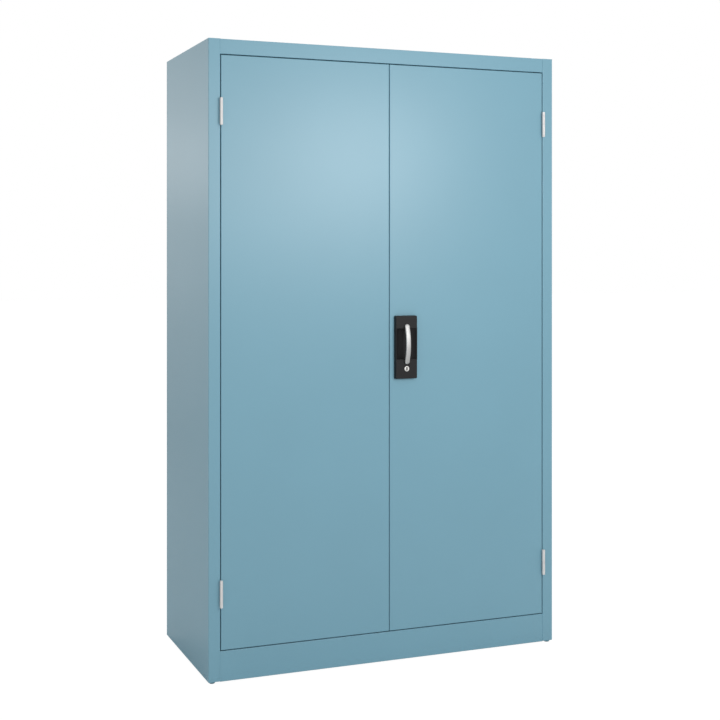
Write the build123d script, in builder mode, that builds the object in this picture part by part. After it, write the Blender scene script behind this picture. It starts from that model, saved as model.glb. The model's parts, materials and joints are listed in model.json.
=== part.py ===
"""Two-door steel tool cabinet: folded sheet carcass, shelves, lift-off hinges and a three-point lock.

Millimetres. +Z is up, the doors face -Y, X = 0 is the middle between the doors, and the feet
stand on Z = 0. Depths are counted backwards from the front face of the doors and posts.
"""
from build123d import *
import math
import os

# ---------------------------------------------------------------- overall
cabinet_width = 1200.0
cabinet_depth = 500.0
body_height = 1950.0
foot_drop = 5.0
sheet = 1.0
bend = 2.0

# ---------------------------------------------------------------- carcass
post_face = 37.0
post_return = 30.0
post_lip = 12.0
rear_flange = 20.0
side_lift = 2.0
roof_flange = 20.0
rail_recess = 1.5
rail_lip = 15.0
top_rail_height = 46.0
plinth_height = 92.5
stop_height = 14.0
floor_flange = 22.0
floor_notch = 4.0
floor_notch_play = 1.0
bead_depth = 5.0
bead_width = 40.0
bead_corner = 14.0
bead_slope = 6.0
bead_x = 300.0
bead_margin = 150.0
wall_hole_radius = 4.5
wall_hole_spacing = 1000.0
wall_hole_drop = 60.0
rib_width = 60.0
rib_depth = 15.0
rib_flange = 14.0

# ---------------------------------------------------------------- shelves
upright_width = 30.0
upright_depth = 15.0
upright_front = 85.0
upright_rear = 55.0
upright_clearance = 6.0
slot_width = 11.0
slot_height = 7.0
slot_pitch = 50.0
slot_start = 60.0
shelf_count = 4
shelf_start_steps = 6
shelf_slot_steps = 7
shelf_front = 50.0
shelf_rear_clearance = 6.0
shelf_side_clearance = 3.0
shelf_edge = 28.0
shelf_lip = 12.0
clip_width = 22.0
clip_thickness = 2.0
clip_ledge = 17.0
clip_height = 22.0
clip_rise = 8.0
clip_hook = 4.0
clip_play = 0.4

# ---------------------------------------------------------------- feet
foot_radius = 10.0
foot_inset = 14.5
foot_setback = 13.0
foot_thickness = 7.0
foot_edge = 2.0
stem_radius = 4.0
stem_length = 42.0
bracket_thickness = 2.5
bracket_height = 10.0
bracket_flange = 18.0
foot_nut_width = 13.0
foot_nut_height = 6.5

# ---------------------------------------------------------------- doors
door_gap = 2.5
end_gap = 3.0
meeting_gap = 2.0
door_depth = 20.0
door_lip = 12.0
buffer_radius = 4.5
buffer_length = 1.7
buffer_play = 0.3
buffer_inner_x = 120.0
buffer_outer_x = 440.0
door_rib_end = 190.0

# ---------------------------------------------------------------- hinges
hinge_stand = 8.0
barrel_radius = 4.8
hinge_length = 83.0
knuckle_gap = 0.6
hinge_inset = 172.0
leaf_thickness = 1.9
leaf_depth = 17.0
pin_radius = 2.5
pin_clearance = 0.06
pin_insert = 34.0
barrel_edge = 0.8

# ---------------------------------------------------------------- handle and lock
handle_inset = 53.0
housing_width = 76.0
housing_length = 202.0
housing_height = 14.0
housing_bottom = 898.0
housing_wall = 2.5
housing_corner = 4.0
housing_edge = 1.5
housing_draft = 4.0
lower_block = 62.5
upper_block = 40.5
trough_depth = 17.0
trough_rim = 1.5
hub_rise = 6.0
bow_width = 16.0
bow_overlap = 15.5
bow_gap = 0.5
bow_end = 4.0
bow_bulge = 13.0
bow_clear = 10.0
bow_foot = 15.0
bow_edge = 3.6
spindle_radius = 5.0
spindle_fit = 0.08
spindle_stub_radius = 3.5
spindle_stub = 3.0
spindle_square = 7.0
boss_wall = 3.0
lock_drop = 30.0
collar_radius = 9.0
collar_height = 2.0
collar_edge = 0.8
cylinder_radius = 8.0
cylinder_play = 0.15
cylinder_tail = 1.5
plug_radius = 6.5
plug_fit = 0.06
keyway_length = 9.5
keyway_width = 4.0
keyway_dish = 0.8
key_slot_length = 7.5
key_slot_width = 1.8
key_slot_depth = 16.0
tail_square = 8.0
lock_nut_width = 22.0
lock_nut_height = 5.0
case_width = 50.0
case_depth = 19.0
case_thickness = 2.0
case_flange = 13.0
screw_boss_wall = 2.2
screw_radius = 2.0
screw_head_radius = 4.0
screw_head_height = 2.2
screw_insert = 9.0
screw_end_inset = 15.0

# ---------------------------------------------------------------- lock mechanism
crank_gap = 2.0
crank_thickness = 3.0
crank_radius = 15.0
crank_rim = 7.0
tongue_width = 15.0
tongue_length = 68.0
crank_pin_radius = 4.0
crank_pin_head = 6.0
crank_pin_head_height = 1.2
rod_width = 16.0
rod_thickness = 3.0
rod_gap = 1.0
rod_end_width = 24.0
rod_end_length = 22.0
rod_pin_play = 0.8
rod_clearance = 3.0
guide_width = 26.0
guide_height = 16.0
guide_play = 0.3
guide_wall = 2.5
guide_foot = 6.0
guide_foot_thickness = 2.5
guide_end_inset = 30.0
guide_spacing = 390.0
lock_cam_length = 16.0
lock_cam_width = 8.0
lock_cam_hub = 7.0
lock_cam_play = 0.6
lock_plate_margin = 6.0
cam_screw_radius = 4.5
cam_screw_height = 2.5
keeper_width = 14.0
keeper_edge = 2.0
keeper_thickness = 2.0
keeper_foot = 25.0
keeper_below = 6.0
keeper_play = 1.0
rod_slot_play = 2.5

# ---------------------------------------------------------------- derived places
bow_reach = bow_end + bow_bulge
handle_reach = housing_height + bow_gap + bow_reach
front_y = (handle_reach - cabinet_depth) / 2
back_y = front_y + cabinet_depth
half_width = cabinet_width / 2
body_bottom = foot_drop
body_top = foot_drop + body_height
side_inner_x = half_width - sheet
post_inner_x = half_width - post_face
stop_depth = door_depth + buffer_length + buffer_play
stop_y = front_y + stop_depth
rail_y = front_y + rail_recess
rail_bottom = body_top - top_rail_height
plinth_top = body_bottom + plinth_height
floor_top = plinth_top + stop_height
floor_rear_y = back_y - sheet
floor_side_y = floor_rear_y - floor_notch
bead_face_y = back_y - sheet - bead_depth

hinge_x = post_inner_x - door_gap / 2
hinge_y = front_y - hinge_stand
door_outer_x = post_inner_x - door_gap
door_inner_x = meeting_gap / 2
door_bottom = plinth_top + end_gap
door_top = rail_bottom - end_gap
door_middle_x = (door_outer_x + door_inner_x) / 2
door_width = door_outer_x - door_inner_x
door_height = door_top - door_bottom
door_middle_z = (door_top + door_bottom) / 2
hinge_heights = {"top": door_top - hinge_inset, "bottom": door_bottom + hinge_inset}

upright_inner_x = side_inner_x - upright_depth
upright_bottom = floor_top + upright_clearance
upright_height = body_top - roof_flange - upright_clearance - upright_bottom
slot_count = int((upright_height - slot_start) / slot_pitch)
first_slot_z = upright_bottom + slot_start
upright_places = {"front": front_y + upright_front, "rear": back_y - upright_rear}
shelf_half_width = upright_inner_x - shelf_side_clearance
shelf_front_y = front_y + shelf_front
shelf_rear_y = bead_face_y - shelf_rear_clearance
shelf_slots = [shelf_start_steps + shelf_slot_steps * n for n in range(shelf_count)]
ledge_heights = [first_slot_z + slot_pitch * slot + clip_rise for slot in shelf_slots]

foot_places = {
    "front_left": (-half_width + foot_inset, front_y + foot_setback),
    "front_right": (half_width - foot_inset, front_y + foot_setback),
    "rear_left": (-half_width + foot_inset, back_y - foot_setback),
    "rear_right": (half_width - foot_inset, back_y - foot_setback),
}
bracket_bottom = body_bottom + bracket_height

handle_x = door_inner_x + handle_inset
housing_low = body_bottom + housing_bottom
housing_high = housing_low + housing_length
housing_z = (housing_low + housing_high) / 2
recess_low = housing_low + lower_block
recess_high = housing_high - upper_block
recess_z = (recess_low + recess_high) / 2
recess_length = recess_high - recess_low
hub_z = recess_high + hub_rise
bow_high = hub_z + bow_width / 2
bow_low = recess_low - bow_overlap
bow_length = bow_high - bow_low
bow_z = (bow_high + bow_low) / 2
lock_z = recess_low - lock_drop
face_half = housing_width / 2 - housing_height * math.tan(math.radians(housing_draft))
trough_half = face_half - trough_rim
trough_radius = (trough_half**2 + trough_depth**2) / (2 * trough_depth)
trough_axis_depth = trough_depth - housing_height - trough_radius

case_rear = sheet + case_depth
crank_depth = case_rear + crank_gap
crank_rear = crank_depth + crank_thickness
rod_depth = crank_rear + rod_gap
rod_rear = rod_depth + rod_thickness
guide_rear = rod_rear + guide_play + guide_wall
swing = crank_radius * math.sqrt(0.5)
rod_travel = 2 * swing
rod_offset = (crank_radius + swing) / 2
pin_wander = crank_radius - swing
top_rod_x = handle_x + rod_offset
bottom_rod_x = handle_x - rod_offset
top_rod_end = rail_bottom - stop_height - rod_clearance
bottom_rod_end = floor_top + rod_clearance
lock_reach = lock_cam_length + lock_cam_play

os.makedirs("parts", exist_ok=True)


# ---------------------------------------------------------------- helpers
def at_depth(depth):
    """Plane facing the user, a given depth behind the front face of the doors."""
    return Plane.XZ.offset(-(front_y + depth))


def folded(corners, side, radius=bend, thickness=sheet):
    """Section of a folded sheet: a rounded line given its thickness on one side."""
    with BuildSketch() as section:
        with BuildLine():
            FilletPolyline(*corners, radius=radius)
            offset(amount=thickness, side=side)
        make_face()
    return section.sketch


def rib_section(middle_x, base_y):
    """Hat section that stands on a sheet's inner face, with a flange on each side."""
    half = rib_width / 2
    corners = [
        (middle_x - half - rib_flange, base_y),
        (middle_x - half, base_y),
        (middle_x - half, base_y + rib_depth),
        (middle_x + half, base_y + rib_depth),
        (middle_x + half, base_y),
        (middle_x + half + rib_flange, base_y),
    ]
    return folded(corners, Side.LEFT)


# ---------------------------------------------------------------- side panels
# Side wall, front post and rear flange are one sheet, folded along its height.
side_corners = [
    (-half_width + rear_flange, back_y - sheet),
    (-half_width, back_y - sheet),
    (-half_width, front_y),
    (-post_inner_x, front_y),
    (-post_inner_x, front_y + post_return),
    (-post_inner_x - post_lip, front_y + post_return),
]
with BuildPart() as left_side_panel:
    with BuildSketch(Plane.XY.offset(body_bottom + side_lift)):
        add(folded(side_corners, Side.LEFT))
    extrude(amount=body_height - side_lift - sheet)
left_side_panel.part.label = "left_side_panel"
export_step(left_side_panel.part, "parts/left_side_panel.step")

with BuildPart() as right_side_panel:
    mirror(left_side_panel.part, about=Plane.YZ)
right_side_panel.part.label = "right_side_panel"
export_step(right_side_panel.part, "parts/right_side_panel.step")

# ---------------------------------------------------------------- back panel
# Flat sheet with two pressed beads along its height and two holes for fixing to a wall.
back_low = body_bottom + side_lift
back_high = body_top - sheet
back_middle_z = (back_low + back_high) / 2
bead_length = back_high - back_low - 2 * bead_margin
bead_slant = math.degrees(math.atan2(bead_slope, bead_depth))
bead_spread = sheet * (math.hypot(bead_slope, bead_depth) - bead_slope) / bead_depth
with BuildPart() as back_panel:
    with BuildSketch(Plane.XZ.offset(-back_y)):
        with Locations((0, back_middle_z)):
            Rectangle(cabinet_width, back_high - back_low)
    extrude(amount=sheet)
    with BuildSketch(Plane.XZ.offset(sheet - back_y)):
        with Locations((0, back_middle_z)):
            with GridLocations(2 * bead_x, 1, 2, 1):
                RectangleRounded(
                    bead_width + 2 * bead_spread,
                    bead_length + 2 * bead_spread,
                    bead_corner + bead_spread,
                )
    extrude(amount=bead_depth, taper=bead_slant)
    with BuildSketch(Plane.XZ.offset(-back_y)):
        with Locations((0, back_middle_z)):
            with GridLocations(2 * bead_x, 1, 2, 1):
                RectangleRounded(bead_width, bead_length, bead_corner)
    extrude(amount=bead_depth, taper=bead_slant, mode=Mode.SUBTRACT)
    with BuildSketch(Plane.XZ.offset(-back_y)):
        with Locations((0, body_top - wall_hole_drop)):
            with GridLocations(wall_hole_spacing, 1, 2, 1):
                Circle(wall_hole_radius)
    extrude(amount=sheet, mode=Mode.SUBTRACT)
back_panel.part.label = "back_panel"
export_step(back_panel.part, "parts/back_panel.step")

# ---------------------------------------------------------------- roof
# Lid over the plan, cut out between the posts for the rail's fold; its own folded edge nests
# inside the sides and the back.
rim_front_y = front_y + post_return + sheet
rim_rear_y = bead_face_y
rim_corners = [
    (-side_inner_x, rim_front_y),
    (-side_inner_x, rim_rear_y),
    (side_inner_x, rim_rear_y),
    (side_inner_x, rim_front_y),
]
with BuildPart() as roof_panel:
    with BuildSketch(Plane.XY.offset(body_top - sheet)):
        with Locations((0, (front_y + back_y) / 2)):
            Rectangle(cabinet_width, cabinet_depth)
        with Locations((0, (front_y + rail_y + rail_lip) / 2)):
            Rectangle(2 * post_inner_x, rail_recess + rail_lip, mode=Mode.SUBTRACT)
    extrude(amount=sheet)
    with BuildSketch(Plane.XY.offset(body_top - sheet)):
        add(folded(rim_corners, Side.RIGHT))
    extrude(amount=-roof_flange)
roof_panel.part.label = "roof_panel"
export_step(roof_panel.part, "parts/roof_panel.step")

# ---------------------------------------------------------------- top rail and plinth
# The rail between the posts folds back over the doors and down behind them as their stop.
top_rail_corners = [
    (rail_y + rail_lip, body_top),
    (rail_y, body_top),
    (rail_y, rail_bottom),
    (stop_y, rail_bottom),
    (stop_y, rail_bottom - stop_height),
]
with BuildPart() as top_rail:
    with BuildSketch(Plane.YZ):
        add(folded(top_rail_corners, Side.LEFT))
    extrude(amount=post_inner_x, both=True)
top_rail.part.label = "top_rail"
export_step(top_rail.part, "parts/top_rail.step")

plinth_corners = [
    (rail_y + rail_lip, body_bottom),
    (rail_y, body_bottom),
    (rail_y, plinth_top),
    (stop_y + bend + sheet, plinth_top),
]
with BuildPart() as plinth_panel:
    with BuildSketch(Plane.YZ):
        add(folded(plinth_corners, Side.RIGHT))
    extrude(amount=post_inner_x, both=True)
plinth_panel.part.label = "plinth_panel"
export_step(plinth_panel.part, "parts/plinth_panel.step")

# ---------------------------------------------------------------- floor
# Tray between the side walls; its front fold stands on the plinth and stops the doors, and its
# rear fold lies on the back panel between the flanges of the sides.
floor_middle_y = (front_y + post_return + floor_side_y) / 2
floor_fold_width = 2 * (half_width - rear_flange - floor_notch_play)
with BuildPart() as floor_panel:
    with BuildSketch(Plane.XY.offset(floor_top - sheet)):
        with Locations((0, floor_middle_y)):
            Rectangle(2 * side_inner_x, floor_side_y - front_y - post_return)
        with Locations((0, (stop_y + floor_middle_y) / 2)):
            Rectangle(2 * post_inner_x, floor_middle_y - stop_y)
        with Locations((0, (floor_middle_y + floor_rear_y) / 2)):
            Rectangle(floor_fold_width, floor_rear_y - floor_middle_y)
    extrude(amount=sheet)
    with BuildSketch(Plane.XY.offset(plinth_top)):
        with Locations((0, stop_y + sheet / 2)):
            Rectangle(2 * post_inner_x, sheet)
    extrude(amount=stop_height - sheet)
    with BuildSketch(Plane.XY.offset(floor_top - sheet)):
        with Locations((0, floor_middle_y)):
            with GridLocations(2 * side_inner_x - sheet, 1, 2, 1):
                Rectangle(sheet, floor_side_y - front_y - post_return)
        with Locations((0, floor_rear_y - sheet / 2)):
            Rectangle(floor_fold_width, sheet)
    extrude(amount=-floor_flange)
    front_edge = floor_panel.edges().filter_by(Axis.X).group_by(Axis.Y)[0].sort_by(Axis.Z)[-1]
    fillet(front_edge, radius=bend / 2)
    with BuildSketch(Plane.XY.offset(floor_top)):
        with Locations((bottom_rod_x, front_y + rod_depth + rod_thickness / 2)):
            Rectangle(rod_width + 2 * rod_slot_play, rod_thickness + 2 * rod_slot_play)
    extrude(amount=-sheet, mode=Mode.SUBTRACT)
floor_panel.part.label = "floor_panel"
export_step(floor_panel.part, "parts/floor_panel.step")

with BuildPart() as floor_rib:
    with BuildSketch(Plane.YZ):
        add(mirror(rib_section(floor_middle_y, sheet - floor_top), about=Plane.XZ, mode=Mode.PRIVATE))
    extrude(amount=side_inner_x - sheet, both=True)
floor_rib.part.label = "floor_rib"
export_step(floor_rib.part, "parts/floor_rib.step")

# ---------------------------------------------------------------- shelf uprights
for side, sign in (("left", -1), ("right", 1)):
    for end, middle_y in upright_places.items():
        near_y = middle_y - upright_width / 2
        far_y = middle_y + upright_width / 2
        upright_corners = [
            (sign * side_inner_x, near_y),
            (sign * upright_inner_x, near_y),
            (sign * upright_inner_x, far_y),
            (sign * side_inner_x, far_y),
        ]
        with BuildPart() as upright:
            with BuildSketch(Plane.XY.offset(upright_bottom)):
                add(folded(upright_corners, Side.LEFT if sign < 0 else Side.RIGHT))
            extrude(amount=upright_height)
            with BuildSketch(Plane.YZ.offset(sign * upright_inner_x)):
                with Locations((middle_y, first_slot_z + (slot_count - 1) * slot_pitch / 2)):
                    with GridLocations(1, slot_pitch, 1, slot_count):
                        Rectangle(slot_width, slot_height)
            extrude(amount=sign * sheet, mode=Mode.SUBTRACT)
        upright.part.label = f"upright_{end}_{side}"
        export_step(upright.part, f"parts/upright_{end}_{side}.step")

# ---------------------------------------------------------------- shelves and their clips
shelf_middle_y = (shelf_front_y + shelf_rear_y) / 2
for number, ledge_z in enumerate(ledge_heights, start=1):
    with BuildPart() as shelf:
        with BuildSketch(Plane.XY.offset(ledge_z)):
            with Locations((0, shelf_middle_y)):
                Rectangle(2 * shelf_half_width, shelf_rear_y - shelf_front_y)
        extrude(amount=shelf_edge)
        top_face = shelf.faces().sort_by(Axis.Z)[-1]
        fillet(top_face.edges().filter_by(Axis.X), radius=bend)
        offset(amount=-sheet, openings=shelf.faces().sort_by(Axis.Z)[0])
        with BuildSketch(Plane.XY.offset(ledge_z)):
            with Locations((0, shelf_middle_y)):
                with GridLocations(1, shelf_rear_y - shelf_front_y - shelf_lip, 1, 2):
                    Rectangle(2 * (shelf_half_width - sheet), shelf_lip)
        extrude(amount=sheet)
    shelf.part.label = f"shelf_{number}"
    export_step(shelf.part, f"parts/shelf_{number}.step")

# Each clip hooks into an upright and holds the shelf's edge on a small ledge.
with BuildPart() as shelf_clips:
    for ledge_z in ledge_heights:
        slot_z = ledge_z - clip_rise
        for sign in (-1, 1):
            for middle_y in upright_places.values():
                ledge_corners = [
                    (sign * upright_inner_x, ledge_z - clip_height),
                    (sign * upright_inner_x, ledge_z),
                    (sign * (upright_inner_x - clip_ledge), ledge_z),
                ]
                clip_side = Side.RIGHT if sign < 0 else Side.LEFT
                with BuildSketch(Plane.XZ.offset(-middle_y)):
                    add(folded(ledge_corners, clip_side, clip_thickness + sheet, clip_thickness))
                extrude(amount=clip_width / 2, both=True)
                with BuildSketch(Plane.YZ.offset(sign * upright_inner_x)):
                    with Locations((middle_y, slot_z)):
                        Rectangle(slot_width - 2 * clip_play, slot_height - 2 * clip_play)
                extrude(amount=sign * clip_hook)
shelf_clips.part.label = "shelf_clips"
export_step(shelf_clips.part, "parts/shelf_clips.step")

# ---------------------------------------------------------------- levelling feet
for name, (foot_x, foot_y) in foot_places.items():
    with BuildPart() as foot:
        with BuildSketch(Plane.XY):
            with Locations((foot_x, foot_y)):
                Circle(foot_radius)
        extrude(amount=foot_thickness)
        chamfer(foot.faces().sort_by(Axis.Z)[0].edges(), length=foot_edge)
        with BuildSketch(Plane.XY.offset(foot_thickness)):
            with Locations((foot_x, foot_y)):
                Circle(stem_radius)
        extrude(amount=stem_length)
        chamfer(foot.faces().sort_by(Axis.Z)[-1].edges(), length=sheet)
    foot.part.label = f"foot_{name}"
    export_step(foot.part, f"parts/foot_{name}.step")

# A folded corner bracket carries each foot's stem; a hexagon nut clamps it from above.
with BuildPart() as foot_brackets:
    for foot_x, foot_y in foot_places.values():
        sign = math.copysign(1, foot_x)
        if foot_y < 0:
            near_y = rail_y + sheet
            far_y = front_y + post_return - bend
        else:
            near_y = back_y - bracket_flange - foot_setback
            far_y = back_y - sheet - bend
        bracket_corners = [
            (sign * side_inner_x, bracket_bottom + bracket_flange),
            (sign * side_inner_x, bracket_bottom),
            (sign * (post_inner_x + bend), bracket_bottom),
        ]
        bracket_side = Side.LEFT if sign < 0 else Side.RIGHT
        with BuildSketch(Plane.XZ.offset(-far_y)):
            add(folded(bracket_corners, bracket_side, bend + bracket_thickness, bracket_thickness))
        extrude(amount=far_y - near_y)
        with BuildSketch(Plane.XY.offset(bracket_bottom)):
            with Locations((foot_x, foot_y)):
                Circle(stem_radius)
        extrude(amount=bracket_thickness, mode=Mode.SUBTRACT)
foot_brackets.part.label = "foot_brackets"
export_step(foot_brackets.part, "parts/foot_brackets.step")

with BuildPart() as foot_nuts:
    with BuildSketch(Plane.XY.offset(bracket_bottom + bracket_thickness)):
        with Locations(*foot_places.values()):
            RegularPolygon(radius=foot_nut_width / 2, side_count=6, major_radius=False)
            Circle(stem_radius, mode=Mode.SUBTRACT)
    extrude(amount=foot_nut_height)
foot_nuts.part.label = "foot_nuts"
export_step(foot_nuts.part, "parts/foot_nuts.step")

# ---------------------------------------------------------------- door panels
door_places = {"left": -door_middle_x, "right": door_middle_x}
door_pans = {}
for side, middle_x in door_places.items():
    with BuildPart() as door:
        with BuildSketch(at_depth(0)):
            with Locations((middle_x, door_middle_z)):
                Rectangle(door_width, door_height)
        extrude(amount=-door_depth)
        fillet(door.faces().sort_by(Axis.Y)[0].edges(), radius=bend)
        offset(amount=-sheet, openings=door.faces().sort_by(Axis.Y)[-1])
        with BuildSketch(at_depth(door_depth - sheet)):
            with Locations((middle_x, door_middle_z)):
                Rectangle(door_width - sheet, door_height - sheet)
                Rectangle(door_width - 2 * door_lip, door_height - 2 * door_lip, mode=Mode.SUBTRACT)
        extrude(amount=-sheet)
    door_pans[side] = door.part
    with BuildPart() as door_rib:
        with BuildSketch(Plane.XY.offset(door_bottom + door_rib_end)):
            add(rib_section(middle_x, front_y + sheet))
        extrude(amount=door_height - 2 * door_rib_end)
    door_rib.part.label = f"{side}_door_rib"
    export_step(door_rib.part, f"parts/{side}_door_rib.step")

with BuildPart() as left_door_panel:
    add(door_pans["left"])
left_door_panel.part.label = "left_door_panel"
export_step(left_door_panel.part, "parts/left_door_panel.step")

# The right door is cut out for the grip's trough, the spindle, the cylinder and four screws.
screw_offset = (case_width + case_flange + case_thickness) / 2
screw_places = [
    (handle_x + offset_x, screw_z)
    for offset_x in (-screw_offset, screw_offset)
    for screw_z in (housing_low + screw_end_inset, housing_high - screw_end_inset)
]
trough_outer_radius = trough_radius + housing_wall
trough_hole_half = math.sqrt(trough_outer_radius**2 - trough_axis_depth**2) + cylinder_play
with BuildPart() as right_door_panel:
    add(door_pans["right"])
    with BuildSketch(at_depth(0)):
        with Locations((handle_x, recess_z)):
            Rectangle(2 * trough_hole_half, recess_length + 2 * housing_wall + cylinder_play)
        with Locations((handle_x, hub_z)):
            Circle(spindle_radius + boss_wall + cylinder_play)
        with Locations((handle_x, lock_z)):
            Circle(cylinder_radius + cylinder_play)
        with Locations(*screw_places):
            Circle(screw_radius)
    extrude(amount=-sheet, mode=Mode.SUBTRACT)
right_door_panel.part.label = "right_door_panel"
export_step(right_door_panel.part, "parts/right_door_panel.step")

# Rubber buttons on the stop flanges of the top rail and the floor soften the doors' closing.
upper_buffer_z = rail_bottom - stop_height / 2 - bend
lower_buffer_z = plinth_top + stop_height / 2 + bend
with BuildPart() as door_buffers:
    with BuildSketch(at_depth(stop_depth)):
        for buffer_x in (buffer_inner_x, buffer_outer_x):
            with Locations((0, upper_buffer_z), (0, lower_buffer_z)):
                with GridLocations(2 * buffer_x, 1, 2, 1):
                    Circle(buffer_radius)
    extrude(amount=buffer_length)
door_buffers.part.label = "door_buffers"
export_step(door_buffers.part, "parts/door_buffers.step")

# ---------------------------------------------------------------- hinges
# Two knuckles on one pin: the lower is on the post, the upper lifts off with the door.
knuckle_height = (hinge_length - knuckle_gap) / 2
for side, sign in (("left", -1), ("right", 1)):
    for level, hinge_z in hinge_heights.items():
        axis_x = sign * hinge_x
        leaf_places = {
            "frame": (sign * post_inner_x - sign * leaf_thickness / 2, hinge_z - hinge_length / 2),
            "door": (sign * door_outer_x + sign * leaf_thickness / 2, hinge_z + knuckle_gap / 2),
        }
        for half, (leaf_x, low_z) in leaf_places.items():
            with BuildPart() as hinge_half:
                with BuildSketch(Plane.XY.offset(low_z)):
                    with Locations((axis_x, hinge_y)):
                        Circle(barrel_radius)
                extrude(amount=knuckle_height)
                outer_end = Axis.Z if half == "door" else -Axis.Z
                chamfer(hinge_half.faces().sort_by(outer_end)[-1].edges(), length=barrel_edge)
                with BuildSketch(Plane.XY.offset(low_z + barrel_edge)):
                    with Locations((leaf_x, (hinge_y + front_y + leaf_depth) / 2)):
                        Rectangle(leaf_thickness, hinge_stand + leaf_depth)
                extrude(amount=knuckle_height - 2 * barrel_edge)
                bore_radius = pin_radius + (pin_clearance if half == "door" else 0)
                bore_z = low_z if half == "door" else low_z + knuckle_height
                bore_depth = pin_insert + (knuckle_gap if half == "door" else 0)
                with BuildSketch(Plane.XY.offset(bore_z)):
                    with Locations((axis_x, hinge_y)):
                        Circle(bore_radius)
                extrude(amount=bore_depth if half == "door" else -bore_depth, mode=Mode.SUBTRACT)
            name = f"hinge_{half}_{side}_{level}"
            hinge_half.part.label = name
            export_step(hinge_half.part, f"parts/{name}.step")

with BuildPart() as hinge_pins:
    for hinge_z in hinge_heights.values():
        with BuildSketch(Plane.XY.offset(hinge_z - knuckle_gap / 2 - pin_insert)):
            with Locations((0, hinge_y)):
                with GridLocations(2 * hinge_x, 1, 2, 1):
                    Circle(pin_radius)
        extrude(amount=2 * pin_insert)
hinge_pins.part.label = "hinge_pins"
export_step(hinge_pins.part, "parts/hinge_pins.step")

# ---------------------------------------------------------------- handle housing
# Moulded shell with drafted sides; a round trough between its two blocks makes room for fingers.
cavity_half = housing_wall / math.cos(math.radians(housing_draft))
with BuildPart() as handle_housing:
    with BuildSketch(at_depth(0)):
        with Locations((handle_x, housing_z)):
            RectangleRounded(housing_width, housing_length, housing_corner)
    extrude(amount=housing_height, taper=housing_draft)
    fillet(handle_housing.faces().sort_by(Axis.Y)[0].edges(), radius=housing_edge)
    with BuildSketch(at_depth(0)):
        with Locations((handle_x, housing_z)):
            RectangleRounded(
                housing_width - 2 * cavity_half,
                housing_length - 2 * cavity_half,
                housing_corner - housing_wall,
            )
    extrude(amount=housing_height - housing_wall, taper=housing_draft, mode=Mode.SUBTRACT)
    with BuildSketch(Plane.XY.offset(recess_low - housing_wall)):
        with Locations((handle_x, front_y + trough_axis_depth)):
            Circle(trough_outer_radius)
        with Locations((handle_x, front_y - housing_height + housing_wall / 2)):
            Rectangle(
                2 * trough_outer_radius,
                2 * trough_outer_radius,
                align=(Align.CENTER, Align.MAX),
                mode=Mode.SUBTRACT,
            )
    extrude(amount=recess_length + 2 * housing_wall)
    with BuildSketch(at_depth(0)):
        with Locations((handle_x, hub_z)):
            Circle(spindle_radius + boss_wall)
        with Locations((handle_x, lock_z)):
            Circle(cylinder_radius + boss_wall)
        with Locations(*screw_places):
            Circle(screw_radius + screw_boss_wall)
    extrude(amount=housing_height - housing_wall)
    with BuildSketch(at_depth(case_rear)):
        with Locations((handle_x, hub_z)):
            Circle(spindle_radius + spindle_fit)
        with Locations((handle_x, lock_z)):
            Circle(cylinder_radius)
    extrude(amount=case_rear + housing_height, mode=Mode.SUBTRACT)
    with BuildSketch(at_depth(0)):
        with Locations(*screw_places):
            Circle(screw_radius)
    extrude(amount=screw_insert - case_thickness, mode=Mode.SUBTRACT)
    with BuildSketch(Plane.XY.offset(recess_low)):
        with Locations((handle_x, front_y + trough_axis_depth)):
            Circle(trough_radius)
    extrude(amount=recess_length, mode=Mode.SUBTRACT)
handle_housing.part.label = "handle_housing"
export_step(handle_housing.part, "parts/handle_housing.step")

# ---------------------------------------------------------------- bow lever and its spindle
bow_seat_y = front_y - housing_height - bow_gap
with BuildPart() as bow_lever:
    with BuildSketch(Plane.YZ.offset(handle_x)):
        with BuildLine():
            Line((bow_seat_y, bow_low), (bow_seat_y, bow_low + bow_foot))
            ThreePointArc(
                (bow_seat_y, bow_low + bow_foot),
                (bow_seat_y - bow_clear, bow_z),
                (bow_seat_y, bow_high - bow_foot),
            )
            Line((bow_seat_y, bow_high - bow_foot), (bow_seat_y, bow_high))
            Line((bow_seat_y, bow_high), (bow_seat_y - bow_end, bow_high))
            ThreePointArc(
                (bow_seat_y - bow_end, bow_high),
                (bow_seat_y - bow_reach, bow_z),
                (bow_seat_y - bow_end, bow_low),
            )
            Line((bow_seat_y - bow_end, bow_low), (bow_seat_y, bow_low))
        make_face()
    extrude(amount=bow_width / 2, both=True)
    with BuildSketch(at_depth(0)):
        with Locations((handle_x, bow_z)):
            SlotOverall(bow_length, bow_width, rotation=90)
    extrude(amount=handle_reach, mode=Mode.INTERSECT)
    outer_face = bow_lever.faces().sort_by(Axis.Y)[0]
    fillet(outer_face.edges(), radius=bow_edge)
    with BuildSketch(Plane.XZ.offset(-bow_seat_y)):
        with Locations((handle_x, hub_z)):
            Circle(spindle_stub_radius)
    extrude(amount=spindle_stub, mode=Mode.SUBTRACT)
bow_lever.part.label = "bow_lever"
export_step(bow_lever.part, "parts/bow_lever.step")

with BuildPart() as lever_spindle:
    with BuildSketch(Plane.XZ.offset(-bow_seat_y)):
        with Locations((handle_x, hub_z)):
            Circle(spindle_stub_radius)
    extrude(amount=spindle_stub)
    with BuildSketch(Plane.XZ.offset(-bow_seat_y)):
        with Locations((handle_x, hub_z)):
            Circle(spindle_radius)
    extrude(amount=bow_seat_y - front_y - crank_depth)
    with BuildSketch(at_depth(crank_depth)):
        with Locations((handle_x, hub_z)):
            Rectangle(spindle_square, spindle_square)
    extrude(amount=-crank_thickness)
lever_spindle.part.label = "lever_spindle"
export_step(lever_spindle.part, "parts/lever_spindle.step")

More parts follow.
